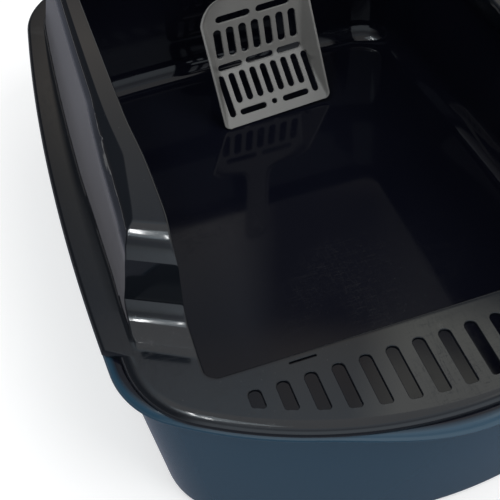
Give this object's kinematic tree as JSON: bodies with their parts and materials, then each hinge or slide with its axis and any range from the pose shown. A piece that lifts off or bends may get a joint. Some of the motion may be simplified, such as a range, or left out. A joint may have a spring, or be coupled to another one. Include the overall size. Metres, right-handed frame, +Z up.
{
  "type": "litter box",
  "caption": "Open-top litter tub with a lift-off guard rim, a slotted front step, S-curved wings and a loose slotted scoop leaning inside.",
  "frame": {"origin": "centre of the box's bounding rectangle, on the ground it stands on", "axes": "+X to the box's right seen from the step, +Y from the step to the back of the guard, +Z up"},
  "size_m": [0.4136, 0.5438, 0.2324],
  "materials": {
    "tub_navy": "glossy dark navy moulded plastic",
    "rim_black": "high-gloss black moulded plastic",
    "scoop_grey": "satin light grey moulded plastic"
  },
  "bodies": {
    "tub": {"litter_tub": "tub_navy"},
    "rim": {"guard_rim": "rim_black"},
    "loose_scoop": {"scoop": "scoop_grey"}
  },
  "joints": [
    {"name": "rim_lift", "type": "slide", "parent": "tub", "child": "rim", "axis": [0, 0, 1], "range_m": [0, 0.15]},
    {"name": "scoop_lift", "type": "slide", "parent": "rim", "child": "loose_scoop", "axis": [0, 0, 1], "range_m": [0, 0.26]}
  ]
}
